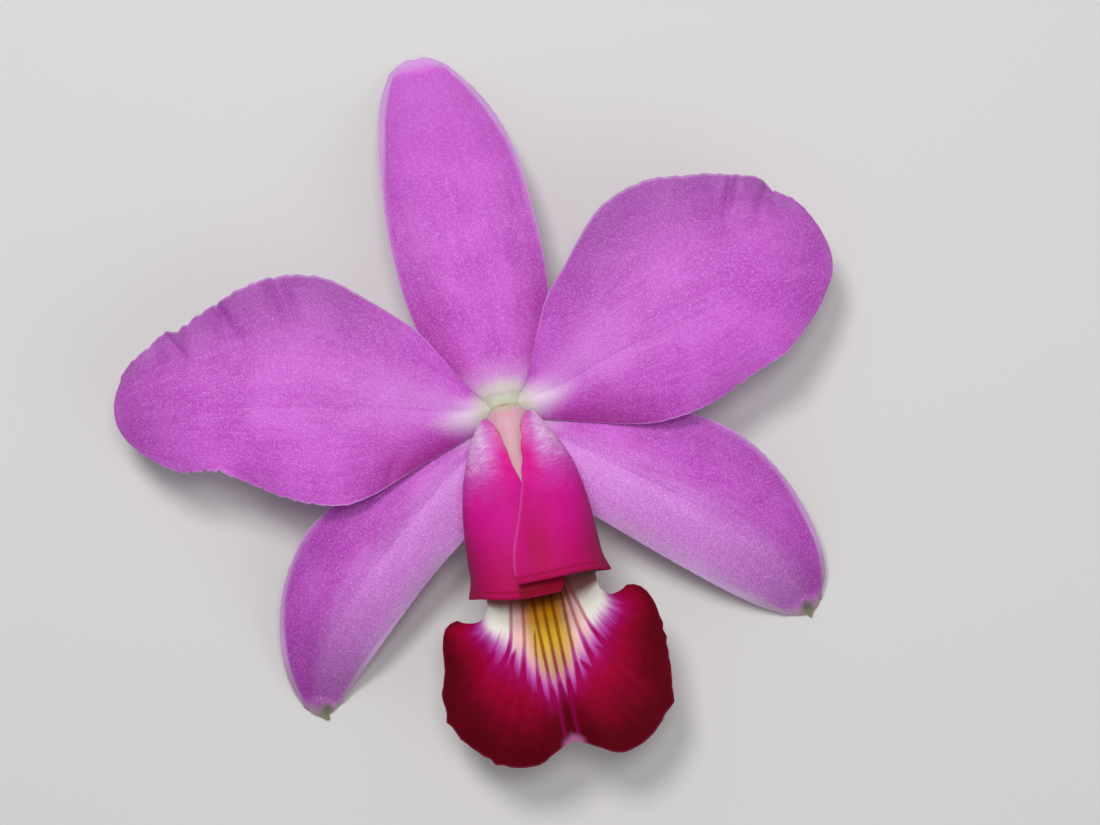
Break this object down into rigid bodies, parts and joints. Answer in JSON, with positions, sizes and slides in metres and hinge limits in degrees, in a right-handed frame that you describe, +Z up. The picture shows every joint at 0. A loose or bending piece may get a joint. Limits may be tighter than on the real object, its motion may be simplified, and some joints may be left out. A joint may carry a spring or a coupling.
{
  "type": "cattleya orchid bloom",
  "caption": "Cattleya orchid bloom as picked, lying on its back face up: broad lilac-pink sepals and petals round a lip rolled into a tube with a spread crimson front and a striped throat.",
  "frame": {"origin": "middle of the bloom's outline seen from above, on the surface that its three sepal tips rest on", "axes": "+Z up, out of the face of the bloom; +Y towards the tip of the dorsal sepal; +X to the right as one looks into the face"},
  "size_m": [0.1232, 0.1222, 0.039],
  "materials": {
    "sepal_petal_tissue": "fresh sepal and petal tissue, lilac-pink with white bases and pale margins, satin with a fine crystalline sparkle",
    "lip_tissue": "fresh lip tissue, magenta to crimson velvet, white and yellow striped throat",
    "column_tissue": "waxy pinkish white",
    "anther_tissue": "waxy cream",
    "stalk_tissue": "waxy green, flushed purple, pale green at the receptacle"
  },
  "bodies": {
    "root": {"sepal_dorsal": "sepal_petal_tissue", "sepal_left": "sepal_petal_tissue", "sepal_right": "sepal_petal_tissue", "petal_left": "sepal_petal_tissue", "petal_right": "sepal_petal_tissue", "lip": "lip_tissue", "column": "column_tissue", "anther_cap": "anther_tissue", "pedicel": "stalk_tissue"}
  },
  "joints": []
}
